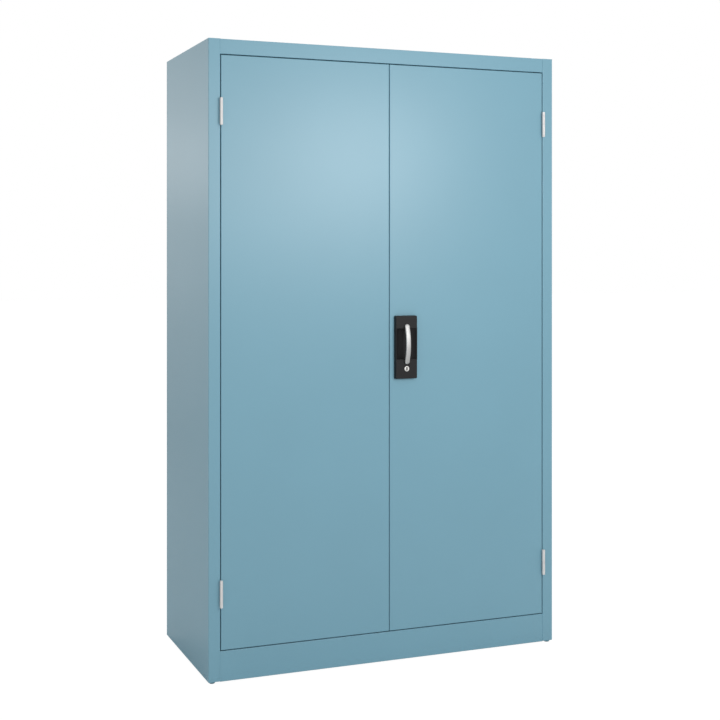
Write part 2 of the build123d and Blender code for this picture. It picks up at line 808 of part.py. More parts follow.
# ---------------------------------------------------------------- lock case
# Hat-shaped bridge inside the right door; the housing's screws pass through its flanges.
web_y = front_y + case_rear - case_thickness
case_corners = [
    (handle_x - case_width / 2 - case_flange, front_y + sheet),
    (handle_x - case_width / 2, front_y + sheet),
    (handle_x - case_width / 2, web_y),
    (handle_x + case_width / 2, web_y),
    (handle_x + case_width / 2, front_y + sheet),
    (handle_x + case_width / 2 + case_flange, front_y + sheet),
]
with BuildPart() as lock_case:
    with BuildSketch(Plane.XY.offset(housing_low)):
        add(folded(case_corners, Side.LEFT, case_thickness, case_thickness))
    extrude(amount=housing_length)
    with BuildSketch(at_depth(case_rear)):
        with Locations((handle_x, hub_z)):
            Circle(spindle_radius + spindle_fit)
        with Locations((handle_x, lock_z)):
            Circle(cylinder_radius + cylinder_play)
        with Locations(*screw_places):
            Circle(screw_radius)
    extrude(amount=case_rear, mode=Mode.SUBTRACT)
lock_case.part.label = "lock_case"
export_step(lock_case.part, "parts/lock_case.step")

with BuildPart() as handle_screws:
    with BuildSketch(at_depth(sheet + case_thickness)):
        with Locations(*screw_places):
            Circle(screw_radius)
    extrude(amount=screw_insert)
    with BuildSketch(at_depth(sheet + case_thickness)):
        with Locations(*screw_places):
            Circle(screw_head_radius)
    extrude(amount=-screw_head_height)
handle_screws.part.label = "handle_screws"
export_step(handle_screws.part, "parts/handle_screws.step")

# ---------------------------------------------------------------- cylinder lock
cylinder_rear = case_rear + cylinder_tail
with BuildPart() as lock_cylinder:
    with BuildSketch(at_depth(-housing_height)):
        with Locations((handle_x, lock_z)):
            Circle(collar_radius)
    extrude(amount=collar_height)
    chamfer(lock_cylinder.faces().sort_by(Axis.Y)[0].edges(), length=collar_edge)
    with BuildSketch(at_depth(-housing_height)):
        with Locations((handle_x, lock_z)):
            Circle(cylinder_radius)
    extrude(amount=-housing_height - cylinder_rear)
    with BuildSketch(at_depth(-housing_height - collar_height)):
        with Locations((handle_x, lock_z)):
            Circle(plug_radius + plug_fit)
    extrude(amount=-handle_reach - case_rear, mode=Mode.SUBTRACT)
lock_cylinder.part.label = "lock_cylinder"
export_step(lock_cylinder.part, "parts/lock_cylinder.step")

with BuildPart() as lock_plug:
    with BuildSketch(at_depth(cylinder_rear)):
        with Locations((handle_x, lock_z)):
            Circle(plug_radius)
    extrude(amount=cylinder_rear + housing_height + collar_height)
    with BuildSketch(at_depth(cylinder_rear)):
        with Locations((handle_x, lock_z)):
            Rectangle(tail_square, tail_square)
    extrude(amount=cylinder_rear - rod_rear)
    with BuildSketch(at_depth(-housing_height - collar_height)):
        with Locations((handle_x, lock_z)):
            SlotOverall(keyway_length, keyway_width, rotation=90)
    extrude(amount=-keyway_dish, mode=Mode.SUBTRACT)
    with BuildSketch(at_depth(-housing_height - collar_height)):
        with Locations((handle_x, lock_z)):
            Rectangle(key_slot_width, key_slot_length)
    extrude(amount=-key_slot_depth, mode=Mode.SUBTRACT)
lock_plug.part.label = "lock_plug"
export_step(lock_plug.part, "parts/lock_plug.step")

with BuildPart() as lock_nut:
    with BuildSketch(at_depth(sheet)):
        with Locations((handle_x, lock_z)):
            RegularPolygon(radius=lock_nut_width / 2, side_count=6, major_radius=False)
            Circle(cylinder_radius, mode=Mode.SUBTRACT)
    extrude(amount=-lock_nut_height)
lock_nut.part.label = "lock_nut"
export_step(lock_nut.part, "parts/lock_nut.step")

# The cam stands upright when the lock is open and turns into the bottom rod's window to block it.
with BuildPart() as lock_cam:
    with BuildSketch(at_depth(rod_depth)):
        with Locations((handle_x, lock_z)):
            Circle(lock_cam_hub)
        with Locations((handle_x, lock_z + lock_cam_length / 2)):
            SlotOverall(lock_cam_length, lock_cam_width, rotation=90)
        with Locations((handle_x, lock_z)):
            Rectangle(tail_square, tail_square, mode=Mode.SUBTRACT)
    extrude(amount=-rod_thickness)
lock_cam.part.label = "lock_cam"
export_step(lock_cam.part, "parts/lock_cam.step")

with BuildPart() as cam_screw:
    with BuildSketch(at_depth(rod_rear)):
        with Locations((handle_x, lock_z)):
            Circle(cam_screw_radius)
    extrude(amount=-cam_screw_height)
cam_screw.part.label = "cam_screw"
export_step(cam_screw.part, "parts/cam_screw.step")

# ---------------------------------------------------------------- crank plate and its pins
# Turning the lever a quarter turn drives the rods apart and the tongue behind the left door.
with BuildPart() as crank_plate:
    with BuildSketch(at_depth(crank_depth)):
        with Locations((handle_x, hub_z)):
            Circle(crank_radius + crank_rim)
        with Locations((handle_x, hub_z + tongue_length / 2)):
            Rectangle(tongue_width, tongue_length)
        with Locations((handle_x, hub_z)):
            Rectangle(spindle_square, spindle_square, mode=Mode.SUBTRACT)
    extrude(amount=-crank_thickness)
    tongue_tip = crank_plate.edges().filter_by(Axis.Y).group_by(Axis.Z)[-1]
    fillet(tongue_tip, radius=tongue_width / 3)
crank_plate.part.label = "crank_plate"
export_step(crank_plate.part, "parts/crank_plate.step")

pin_places = [(handle_x + swing, hub_z - swing), (handle_x - swing, hub_z + swing)]
with BuildPart() as crank_pins:
    with BuildSketch(at_depth(crank_rear)):
        with Locations(*pin_places):
            Circle(crank_pin_radius)
    extrude(amount=crank_rear - rod_rear - rod_gap)
    with BuildSketch(at_depth(rod_rear + rod_gap)):
        with Locations(*pin_places):
            Circle(crank_pin_head)
    extrude(amount=-crank_pin_head_height)
crank_pins.part.label = "crank_pins"
export_step(crank_pins.part, "parts/crank_pins.step")

# ---------------------------------------------------------------- lock rods
rod_slot_height = 2 * (crank_pin_radius + rod_pin_play)
rod_slot_length = rod_slot_height + pin_wander
with BuildPart() as top_rod:
    with BuildSketch(at_depth(rod_depth)):
        with Locations((top_rod_x, hub_z - swing)):
            Rectangle(rod_end_width, rod_end_length)
        with Locations((top_rod_x, (hub_z - swing + top_rod_end) / 2)):
            Rectangle(rod_width, top_rod_end - hub_z + swing)
        with Locations((top_rod_x, hub_z - swing)):
            SlotOverall(rod_slot_length, rod_slot_height, mode=Mode.SUBTRACT)
    extrude(amount=-rod_thickness)
    fillet(top_rod.edges().filter_by(Axis.Y).group_by(Axis.Z)[-1], radius=rod_thickness)
top_rod.part.label = "top_rod"
export_step(top_rod.part, "parts/top_rod.step")

# Its lower plate has a window with a pocket for the lock cam at each end of the stroke.
plate_low = lock_z - lock_cam_hub - lock_cam_play - lock_plate_margin
plate_high = lock_z + rod_travel + lock_reach + lock_plate_margin
plate_right = handle_x + lock_reach + lock_plate_margin
plate_left = bottom_rod_x - rod_width / 2
window_half = lock_cam_hub + lock_cam_play
with BuildPart() as bottom_rod:
    with BuildSketch(at_depth(rod_depth)):
        with Locations((bottom_rod_x, hub_z + swing)):
            Rectangle(rod_end_width, rod_end_length)
        with Locations((bottom_rod_x, (hub_z + swing + bottom_rod_end) / 2)):
            Rectangle(rod_width, hub_z + swing - bottom_rod_end)
        with Locations(((plate_left + plate_right) / 2, (plate_low + plate_high) / 2)):
            Rectangle(plate_right - plate_left, plate_high - plate_low)
        with Locations((bottom_rod_x, hub_z + swing)):
            SlotOverall(rod_slot_length, rod_slot_height, mode=Mode.SUBTRACT)
        window_low = lock_z - window_half
        window_high = lock_z + rod_travel + lock_reach
        with Locations((handle_x, (window_low + window_high) / 2)):
            Rectangle(2 * window_half, window_high - window_low, mode=Mode.SUBTRACT)
        for stroke in (0, rod_travel):
            pocket_drop = lock_cam_width / 2 + lock_cam_play
            with Locations((handle_x, lock_z + stroke)):
                Rectangle(lock_reach, pocket_drop, align=(Align.MIN, Align.MAX), mode=Mode.SUBTRACT)
            with BuildLine():
                CenterArc((handle_x, lock_z + stroke), lock_reach, 0, 90)
                Line((handle_x, lock_z + stroke + lock_reach), (handle_x, lock_z + stroke))
                Line((handle_x, lock_z + stroke), (handle_x + lock_reach, lock_z + stroke))
            make_face(mode=Mode.SUBTRACT)
    extrude(amount=-rod_thickness)
    fillet(bottom_rod.edges().filter_by(Axis.Y).group_by(Axis.Z)[0], radius=rod_thickness)
bottom_rod.part.label = "bottom_rod"
export_step(bottom_rod.part, "parts/bottom_rod.step")

# Moulded guides stand on the door's skin and let the rods slide.
guide_places = [
    (top_rod_x, door_top - guide_end_inset),
    (top_rod_x, door_top - guide_end_inset - guide_spacing),
    (bottom_rod_x, door_bottom + guide_end_inset + guide_spacing),
    (bottom_rod_x, door_bottom + guide_end_inset),
]
with BuildPart() as rod_guides:
    for guide_x, guide_z in guide_places:
        with BuildSketch(at_depth(sheet)):
            with Locations((guide_x, guide_z)):
                RectangleRounded(guide_width, guide_height + 2 * guide_foot, guide_foot / 2)
        extrude(amount=-guide_foot_thickness)
        with BuildSketch(at_depth(sheet + guide_foot_thickness)):
            with Locations((guide_x, guide_z)):
                Rectangle(guide_width, guide_height)
        extrude(amount=sheet + guide_foot_thickness - guide_rear)
        with BuildSketch(Plane.XY.offset(guide_z)):
            with Locations((guide_x, front_y + rod_depth + rod_thickness / 2)):
                Rectangle(rod_width + 2 * guide_play, rod_thickness + 2 * guide_play)
        extrude(amount=guide_height, both=True, mode=Mode.SUBTRACT)
rod_guides.part.label = "rod_guides"
export_step(rod_guides.part, "parts/rod_guides.step")

# ---------------------------------------------------------------- keeper on the left door
# Hook behind the left door's closing fold; the tongue drops in behind it from above.
keeper_top = hub_z + tongue_width / 2 + keeper_below
keeper_floor = hub_z - tongue_width / 2 - keeper_below
lip_y = front_y + door_depth
hook_y = front_y + crank_rear + keeper_play
keeper_corners = [
    (lip_y, keeper_floor - keeper_foot),
    (lip_y, keeper_floor),
    (hook_y, keeper_floor),
    (hook_y, keeper_top),
]
with BuildPart() as tongue_keeper:
    with BuildSketch(Plane.YZ.offset(-door_inner_x - keeper_edge)):
        add(folded(keeper_corners, Side.RIGHT, keeper_thickness / 2, keeper_thickness))
    extrude(amount=-keeper_width)
tongue_keeper.part.label = "tongue_keeper"
export_step(tongue_keeper.part, "parts/tongue_keeper.step")
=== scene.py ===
import json
import math

import bmesh
import bpy
from mathutils import Matrix, Vector


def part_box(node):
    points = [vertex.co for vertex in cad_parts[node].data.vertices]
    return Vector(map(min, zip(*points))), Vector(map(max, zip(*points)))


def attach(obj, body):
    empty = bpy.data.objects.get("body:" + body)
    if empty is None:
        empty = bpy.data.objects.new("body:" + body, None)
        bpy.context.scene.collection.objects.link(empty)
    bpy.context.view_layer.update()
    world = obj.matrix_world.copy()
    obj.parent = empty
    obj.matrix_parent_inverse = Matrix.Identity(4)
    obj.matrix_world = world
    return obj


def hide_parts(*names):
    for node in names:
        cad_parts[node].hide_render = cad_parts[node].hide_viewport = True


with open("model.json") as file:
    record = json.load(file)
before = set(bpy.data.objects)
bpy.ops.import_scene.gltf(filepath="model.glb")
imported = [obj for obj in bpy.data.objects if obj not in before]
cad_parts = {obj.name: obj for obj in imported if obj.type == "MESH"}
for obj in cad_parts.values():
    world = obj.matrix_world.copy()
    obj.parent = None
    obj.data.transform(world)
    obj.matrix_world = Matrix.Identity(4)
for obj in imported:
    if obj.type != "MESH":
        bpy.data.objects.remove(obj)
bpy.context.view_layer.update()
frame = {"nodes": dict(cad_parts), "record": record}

MM = 0.001


# ---------------------------------------------------------------- shader helpers
# A noise pattern fills little more than this stretch of its 0 to 1 range.
PATTERN_LOW = 0.3
PATTERN_HIGH = 0.7


def new_finish(name, color, roughness, metallic=0.0):
    """A material with one Principled shader; returns the material and the shader."""
    material = bpy.data.materials.new(name)
    material.use_nodes = True
    shader = material.node_tree.nodes["Principled BSDF"]
    shader.inputs["Base Color"].default_value = (*color, 1.0)
    shader.inputs["Roughness"].default_value = roughness
    shader.inputs["Metallic"].default_value = metallic
    return material, shader


def link(material, source, target):
    """Joins two sockets of a material's nodes."""
    material.node_tree.links.new(source, target)


def object_noise(material, scale, detail=3.0, roughness=0.5, stretch=(1.0, 1.0, 1.0)):
    """Noise in the object's own metres: scale is about the number of blotches in a metre."""
    nodes = material.node_tree.nodes
    place = nodes.new("ShaderNodeTexCoord")
    mapping = nodes.new("ShaderNodeMapping")
    mapping.inputs["Scale"].default_value = stretch
    noise = nodes.new("ShaderNodeTexNoise")
    noise.inputs["Scale"].default_value = scale
    noise.inputs["Detail"].default_value = detail
    noise.inputs["Roughness"].default_value = roughness
    link(material, place.outputs["Object"], mapping.inputs["Vector"])
    link(material, mapping.outputs["Vector"], noise.inputs["Vector"])
    return noise.outputs["Fac"]


def between(material, factor, low, high):
    """Turns a pattern into a number from low to high."""
    ranged = material.node_tree.nodes.new("ShaderNodeMapRange")
    ranged.inputs["From Min"].default_value = PATTERN_LOW
    ranged.inputs["From Max"].default_value = PATTERN_HIGH
    ranged.inputs["To Min"].default_value = low
    ranged.inputs["To Max"].default_value = high
    link(material, factor, ranged.inputs["Value"])
    return ranged.outputs["Result"]


def two_tones(material, factor, dark, light):
    """Blends two colours by a pattern."""
    ramp = material.node_tree.nodes.new("ShaderNodeValToRGB")
    ramp.color_ramp.elements[0].position = PATTERN_LOW
    ramp.color_ramp.elements[0].color = (*dark, 1.0)
    ramp.color_ramp.elements[1].position = PATTERN_HIGH
    ramp.color_ramp.elements[1].color = (*light, 1.0)
    link(material, factor, ramp.inputs["Fac"])
    return ramp.outputs["Color"]


def roughened(material, shader, pattern, low, high):
    """Lets the shader's roughness follow a pattern, from low to high."""
    link(material, between(material, pattern, low, high), shader.inputs["Roughness"])


def bumped(material, shader, pattern, depth):
    """Lets the shader's normal follow a pattern, as a relief of a depth in metres."""
    bump = material.node_tree.nodes.new("ShaderNodeBump")
    bump.inputs["Distance"].default_value = depth
    link(material, pattern, bump.inputs["Height"])
    link(material, bump.outputs["Normal"], shader.inputs["Normal"])


def shade(color, factor):
    """A colour made darker or lighter by a factor."""
    return tuple(channel * factor for channel in color)


# ---------------------------------------------------------------- finishes
PASTEL_BLUE = (0.169, 0.344, 0.432)
PAINT_DRIFT = 0.015


def powder_coat():
    """Satin powder paint: faint orange peel, and a tone that drifts a little over the sheet."""
    material, shader = new_finish("powder_coat_pastel_blue", PASTEL_BLUE, roughness=0.35)
    cloud = object_noise(material, scale=3.0, detail=2.0)
    darker = shade(PASTEL_BLUE, 1 - PAINT_DRIFT)
    lighter = shade(PASTEL_BLUE, 1 + PAINT_DRIFT)
    link(material, two_tones(material, cloud, darker, lighter), shader.inputs["Base Color"])
    roughened(material, shader, object_noise(material, scale=900.0), low=0.32, high=0.38)
    orange_peel = object_noise(material, scale=420.0, detail=2.0)
    bumped(material, shader, orange_peel, depth=0.03 * MM)
    return material


def moulded_black():
    """Black moulded plastic with a fine sparked grain."""
    material, shader = new_finish("moulded_black", (0.008, 0.008, 0.009), roughness=0.5)
    shader.inputs["Specular IOR Level"].default_value = 0.26
    grain = object_noise(material, scale=2600.0, detail=4.0, roughness=0.7)
    roughened(material, shader, grain, low=0.4, high=0.56)
    bumped(material, shader, grain, depth=0.06 * MM)
    return material


def satin_chrome():
    """Satin chromed casting: very fine lines along the bow."""
    material, shader = new_finish("satin_chrome", (0.48, 0.48, 0.475), roughness=0.5, metallic=0.85)
    lines = object_noise(material, scale=1500.0, stretch=(1.0, 1.0, 0.06))
    roughened(material, shader, lines, low=0.46, high=0.58)
    bumped(material, shader, lines, depth=0.01 * MM)
    return material


def satin_nickel():
    """Nickel plated turned brass of the lock cylinder."""
    material, shader = new_finish("satin_nickel", (0.66, 0.65, 0.63), roughness=0.42, metallic=0.7)
    roughened(material, shader, object_noise(material, scale=3000.0), low=0.36, high=0.5)
    return material


def hinge_zinc():
    """Dull zinc on drawn steel: pale, fine lines along the barrel."""
    material, shader = new_finish("hinge_zinc", (0.68, 0.665, 0.655), roughness=0.6, metallic=0.3)
    lines = object_noise(material, scale=900.0, stretch=(1.0, 1.0, 0.1))
    roughened(material, shader, lines, low=0.52, high=0.68)
    bumped(material, shader, lines, depth=0.01 * MM)
    return material


def sheet_zinc():
    """Zinc plated pressed steel: slightly blue, clouded, with fine grain."""
    cool = (0.52, 0.56, 0.6)
    warm = (0.6, 0.61, 0.6)
    material, shader = new_finish("sheet_zinc", warm, roughness=0.4, metallic=1.0)
    cloud = object_noise(material, scale=60.0, detail=4.0)
    link(material, two_tones(material, cloud, cool, warm), shader.inputs["Base Color"])
    roughened(material, shader, object_noise(material, scale=700.0), low=0.33, high=0.47)
    bumped(material, shader, object_noise(material, scale=1200.0), depth=0.01 * MM)
    return material


def black_nylon():
    """Black nylon of the rod guides."""
    material, shader = new_finish("black_nylon", (0.02, 0.02, 0.022), roughness=0.5)
    grain = object_noise(material, scale=1600.0)
    roughened(material, shader, grain, low=0.42, high=0.58)
    bumped(material, shader, grain, depth=0.03 * MM)
    return material


def dull_rubber():
    """Matt black rubber of the door buffers."""
    material, shader = new_finish("dull_rubber", (0.02, 0.02, 0.02), roughness=0.8)
    grain = object_noise(material, scale=1200.0)
    roughened(material, shader, grain, low=0.72, high=0.9)
    bumped(material, shader, grain, depth=0.03 * MM)
    return material


def foot_nylon():
    """Blue-grey nylon of the levelling feet."""
    material, shader = new_finish("foot_nylon", (0.13, 0.265, 0.335), roughness=0.5)
    grain = object_noise(material, scale=1400.0)
    roughened(material, shader, grain, low=0.42, high=0.58)
    bumped(material, shader, grain, depth=0.03 * MM)
    return material


FINISHES = {
    "body_paint": powder_coat(),
    "handle_plastic": moulded_black(),
    "handle_metal": satin_chrome(),
    "cylinder_metal": satin_nickel(),
    "hinge_steel": hinge_zinc(),
    "zinc_steel": sheet_zinc(),
    "guide_plastic": black_nylon(),
    "buffer_rubber": dull_rubber(),
    "foot_plastic": foot_nylon(),
}

for entry in frame["record"]["subparts"]:
    cad_object = frame["nodes"][entry["node"]]
    cad_object.data.materials.clear()
    cad_object.data.materials.append(FINISHES[entry["material_slot"]])


# ---------------------------------------------------------------- helpers for new pieces
SMOOTH_BELOW = math.radians(35)
# Where in each pitch a thread's crest and root stand.
CREST_AT = 0.25
ROOT_AT = 0.75


def piece(name, shape, body, slot, stands_for=()):
    """Makes a finished bmesh an object that rides on a body, in the finish of a slot."""
    bmesh.ops.recalc_face_normals(shape, faces=shape.faces)
    mesh = bpy.data.meshes.new(name)
    shape.to_mesh(mesh)
    shape.free()
    mesh.shade_smooth()
    mesh.set_sharp_from_angle(angle=SMOOTH_BELOW)
    mesh.materials.append(FINISHES[slot])
    made = bpy.data.objects.new(name, mesh)
    bpy.context.scene.collection.objects.link(made)
    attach(made, body)
    if stands_for:
        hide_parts(*stands_for)


def rim(ring):
    """The edges that join a ring's own vertices."""
    ring = set(ring)
    edges = {edge for vertex in ring for edge in vertex.link_edges}
    return [edge for edge in edges if edge.verts[0] in ring and edge.verts[1] in ring]


def circle(shape, radius, segments):
    """A flat ring about the origin; returns its vertices."""
    return bmesh.ops.create_circle(shape, segments=segments, radius=radius)["verts"]


def turned(shape, ring, profile):
    """Draws a ring on through the profile's (radius, height) pairs; returns the last ring."""
    for radius, height in profile:
        drawn = bmesh.ops.extrude_edge_only(shape, edges=rim(ring))["geom"]
        ring = [item for item in drawn if isinstance(item, bmesh.types.BMVert)]
        for vertex in ring:
            across = vertex.co.xy.normalized() * radius
            vertex.co = (across.x, across.y, height)
    return ring


def thread(crest, root, start, end, pitch):
    """Profile pairs for a run of ridges along a stem, from the crest's and the root's radius."""
    pairs = []
    for turn in range(round((end - start) / pitch)):
        height = start + turn * pitch
        pairs += [(crest, height + CREST_AT * pitch), (root, height + ROOT_AT * pitch)]
    return pairs


def facing_back(shape):
    """Turns what was drawn upwards so that it points to the cabinet's back."""
    bmesh.ops.rotate(shape, verts=shape.verts, matrix=Matrix.Rotation(-math.pi / 2, 3, "X"))


def set_at(shape, places):
    """Moves what the shape holds to the first place, and sets a copy of it at each of the others."""
    first = shape.verts[:] + shape.edges[:] + shape.faces[:]
    moved = shape.verts[:]
    for place in places[1:]:
        copied = bmesh.ops.duplicate(shape, geom=first)["geom"]
        copied_verts = [item for item in copied if isinstance(item, bmesh.types.BMVert)]
        bmesh.ops.translate(shape, verts=copied_verts, vec=place)
    bmesh.ops.translate(shape, verts=moved, vec=places[0])


def oval(shape, length, width, segments):
    """An upright oval with straight sides and round ends, in the XZ plane; returns its vertices."""
    half_step = Matrix.Rotation(math.pi / segments, 4, "Z")
    ring = bmesh.ops.create_circle(shape, segments=segments, radius=width / 2, matrix=half_step)["verts"]
    for vertex in ring:
        x, z = vertex.co.x, vertex.co.y
        vertex.co = (x, 0.0, z + math.copysign((length - width) / 2, z))
    return ring


# ---------------------------------------------------------------- lever bow
# The flat foot at each end, the bar's depth there, the room under the arch, the stretch over which the tips
# are rounded off, and how square the section is (2 would be an ellipse).
BOW_FOOT = 15.0 * MM
BOW_END = 4.0 * MM
BOW_CLEAR = 10.0 * MM
BOW_TIP = 4.5 * MM
BOW_SQUARENESS = 3.0


def arch(distance, half_span, rise):
    """Height of a round arch above its springing, at a distance from its middle."""
    if abs(distance) >= half_span:
        return 0.0
    radius = (half_span ** 2 + rise ** 2) / (2 * rise)
    return math.sqrt(radius ** 2 - distance ** 2) - (radius - rise)


def rounded_off(distance, reach):
    """1 inside, and down to 0 along a quarter circle over the last stretch before an end."""
    if distance >= reach:
        return 1.0
    return math.sqrt(max(0.0, 1 - (1 - distance / reach) ** 2))


def squared(value, squareness):
    """Pushes a sine or cosine outwards, which makes a round section squarer."""
    return math.copysign(abs(value) ** (2 / squareness), value)


def lever_bow():
    """The arched bar of the lever, drawn from a sphere: its rings become the bow's cross sections."""
    low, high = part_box("bow_lever")
    middle = (low + high) / 2
    half_length = (high.z - low.z) / 2
    half_width = (high.x - low.x) / 2
    rise = high.y - low.y - BOW_END
    shape = bmesh.new()
    bmesh.ops.create_uvsphere(shape, u_segments=40, v_segments=80, radius=1.0)
    for vertex in shape.verts:
        along = half_length * vertex.co.z
        to_end = half_length - abs(along)
        turn = math.atan2(vertex.co.y, vertex.co.x)
        outer = (BOW_END + arch(along, half_length, rise)) * rounded_off(to_end, BOW_TIP)
        inner = arch(along, half_length - BOW_FOOT, BOW_CLEAR)
        side = half_width * rounded_off(to_end, half_width) * squared(math.cos(turn), BOW_SQUARENESS)
        depth = (outer + inner) / 2 - (outer - inner) / 2 * squared(math.sin(turn), BOW_SQUARENESS)
        vertex.co = (middle.x + side, high.y - depth, middle.z + along)
    piece("lever_bow", shape, "lever", "handle_metal", ["bow_lever"])


lever_bow()


# ---------------------------------------------------------------- keyhole shade: a black shutter painted in as the shade inside the keyhole
SHADE_SHUTTER_LENGTH = 10.8 * MM
SHADE_SHUTTER_WIDTH = 4.4 * MM
SHADE_SHUTTER_THICKNESS = 0.4 * MM
SHADE_SHUTTER_RISE = 0.1 * MM
SHADE_SHUTTER_SEGMENTS = 48
KEY_LENGTH = 6.8 * MM
KEY_WIDTH = 1.1 * MM


def keyhole_shade_shutter():
    """Black shutter over the oval dish of the plug, with the narrow slot for the key; its black is painted
    shade that stands for the dark inside the keyhole.
    """
    low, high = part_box("lock_plug")
    collar_low, collar_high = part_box("lock_cylinder")
    shape = bmesh.new()
    outer = oval(shape, SHADE_SHUTTER_LENGTH, SHADE_SHUTTER_WIDTH, SHADE_SHUTTER_SEGMENTS)
    inner = oval(shape, KEY_LENGTH, KEY_WIDTH, SHADE_SHUTTER_SEGMENTS)
    bmesh.ops.bridge_loops(shape, edges=rim(outer) + rim(inner))
    bmesh.ops.solidify(shape, geom=shape.faces[:], thickness=SHADE_SHUTTER_THICKNESS)
    face_y = min(vertex.co.y for vertex in shape.verts)
    place = ((low.x + high.x) / 2, low.y - SHADE_SHUTTER_RISE - face_y, (collar_low.z + collar_high.z) / 2)
    bmesh.ops.translate(shape, verts=shape.verts, vec=place)
    # The black sheet is painted shade: it darkens the keyhole's dish as its shade would.
    piece("keyhole_shade_shutter", shape, "key_barrel", "handle_plastic")


keyhole_shade_shutter()


# ---------------------------------------------------------------- lock cylinder
COLLAR_RADIUS = 8.4 * MM
COLLAR_HEIGHT = 2.0 * MM
CYLINDER_RADIUS = 8.0 * MM
CYLINDER_BORE = 6.56 * MM
THREAD_DEPTH = 0.4 * MM
THREAD_PITCH = 1.25 * MM
# The thread starts at this share of the barrel's length.
THREAD_FROM = 0.5
# The collar's rounded rim: millimetres inwards from its radius, and behind its face.
COLLAR_ROUNDING = ((0.9, 0.0), (0.4, 0.14), (0.1, 0.45), (0.0, 0.9))


def turned_cylinder():
    """The lock's turned housing: a collar with a rounded rim and a threaded barrel."""
    low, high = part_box("lock_cylinder")
    length = high.y - low.y
    shape = bmesh.new()
    front = circle(shape, CYLINDER_BORE, segments=64)
    root = CYLINDER_RADIUS - THREAD_DEPTH
    rear = turned(shape, front, [
        *((COLLAR_RADIUS - inwards * MM, behind * MM) for inwards, behind in COLLAR_ROUNDING),
        (COLLAR_RADIUS, COLLAR_HEIGHT),
        (CYLINDER_RADIUS, COLLAR_HEIGHT),
        *thread(CYLINDER_RADIUS, root, THREAD_FROM * length, length, THREAD_PITCH),
        (root, length),
        (CYLINDER_BORE, length),
    ])
    bmesh.ops.bridge_loops(shape, edges=rim(rear) + rim(front))
    facing_back(shape)
    set_at(shape, [((low.x + high.x) / 2, low.y, (low.z + high.z) / 2)])
    piece("turned_cylinder", shape, "right_door", "cylinder_metal", ["lock_cylinder"])


turned_cylinder()


# ---------------------------------------------------------------- cross-recessed screws
# The recess is a cross of cells out of a square grid: its arms in shares of the head's radius, its depth in
# shares of the head's height, and how far it narrows towards its floor.
CROSS_CELLS = 3
CROSS_ARM = 0.52
CROSS_DEPTH = 0.8
CROSS_TAPER = 0.55
# The pan head from the flat of its top to its seat, in shares of its radius and height.
PAN_HEAD = ((0.6, 1.0), (0.76, 0.94), (0.93, 0.7), (1.0, 0.35), (1.0, 0.0))


def cross_screw(head_radius, head_height, shank_radius, shank_length):
    """A pan-head screw with a tapered cross recess, seated at the origin with its head to the back."""
    shape = bmesh.new()
    arm = CROSS_ARM * head_radius
    bmesh.ops.create_grid(shape, x_segments=CROSS_CELLS, y_segments=CROSS_CELLS, size=arm)
    corners = []
    for face in shape.faces:
        middle = face.calc_center_median()
        if min(abs(middle.x), abs(middle.y)) > arm / CROSS_CELLS:
            corners.append(face)
    bmesh.ops.delete(shape, geom=corners, context="FACES")
    outline = [edge for edge in shape.edges if edge.is_boundary]
    bmesh.ops.subdivide_edges(shape, edges=outline, cuts=2)
    bmesh.ops.translate(shape, verts=shape.verts, vec=(0, 0, head_height))
    cross = shape.faces[:]
    sunk = bmesh.ops.extrude_face_region(shape, geom=cross)["geom"]
    sunk_verts = [item for item in sunk if isinstance(item, bmesh.types.BMVert)]
    bmesh.ops.delete(shape, geom=cross, context="FACES")
    bmesh.ops.scale(shape, verts=sunk_verts, vec=(CROSS_TAPER, CROSS_TAPER, 1))
    bmesh.ops.translate(shape, verts=sunk_verts, vec=(0, 0, -CROSS_DEPTH * head_height))
    mouth = {vertex for edge in shape.edges if edge.is_boundary for vertex in edge.verts}
    tip = turned(shape, mouth, [
        *((across * head_radius, up * head_height) for across, up in PAN_HEAD),
        (shank_radius, 0.0),
        (shank_radius, -shank_length),
    ])
    bmesh.ops.contextual_create(shape, geom=rim(tip))
    facing_back(shape)
    return shape


HANDLE_SCREW_HEAD = 4.0 * MM
HANDLE_SCREW_RISE = 2.2 * MM
SCREW_SHANK = 2.0 * MM
CAM_SCREW_LENGTH = 6.0 * MM


def handle_screw_set():
    """The four screws that hold the lock case and the handle's housing."""
    low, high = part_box("handle_screws")
    seat = high.y - HANDLE_SCREW_RISE
    shape = cross_screw(HANDLE_SCREW_HEAD, HANDLE_SCREW_RISE, SCREW_SHANK, seat - low.y)
    set_at(shape, [
        (x, seat, z)
        for x in (low.x + HANDLE_SCREW_HEAD, high.x - HANDLE_SCREW_HEAD)
        for z in (low.z + HANDLE_SCREW_HEAD, high.z - HANDLE_SCREW_HEAD)
    ])
    piece("handle_screw_set", shape, "right_door", "zinc_steel", ["handle_screws"])


def cam_fixing():
    """The screw that holds the lock's cam on the tail of the plug."""
    low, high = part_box("cam_screw")
    shape = cross_screw((high.x - low.x) / 2, high.y - low.y, SCREW_SHANK, CAM_SCREW_LENGTH)
    set_at(shape, [((low.x + high.x) / 2, low.y, (low.z + high.z) / 2)])
    piece("cam_fixing", shape, "key_barrel", "zinc_steel", ["cam_screw"])


handle_screw_set()
cam_fixing()


# ---------------------------------------------------------------- feet
FOOT_PAD_RADIUS = 10.0 * MM
FOOT_PAD_HEIGHT = 7.0 * MM
FOOT_PAD_ROUNDING = 0.8 * MM
FOOT_STEM_RADIUS = 4.0 * MM
FOOT_STEM_END = 0.8 * MM
FOOT_THREAD_START = 2.0 * MM
FOOT_THREAD_PITCH = 1.5 * MM
FOOT_THREAD_DEPTH = 0.5 * MM
# The share of the pad's radius that lies flat on the floor.
FOOT_SOLE = 0.5
# The pad's rounded underside: shares of its radius, and millimetres above the floor.
FOOT_DOME = ((0.68, 0.25), (0.84, 1.1), (0.95, 2.5), (1.0, 4.5))


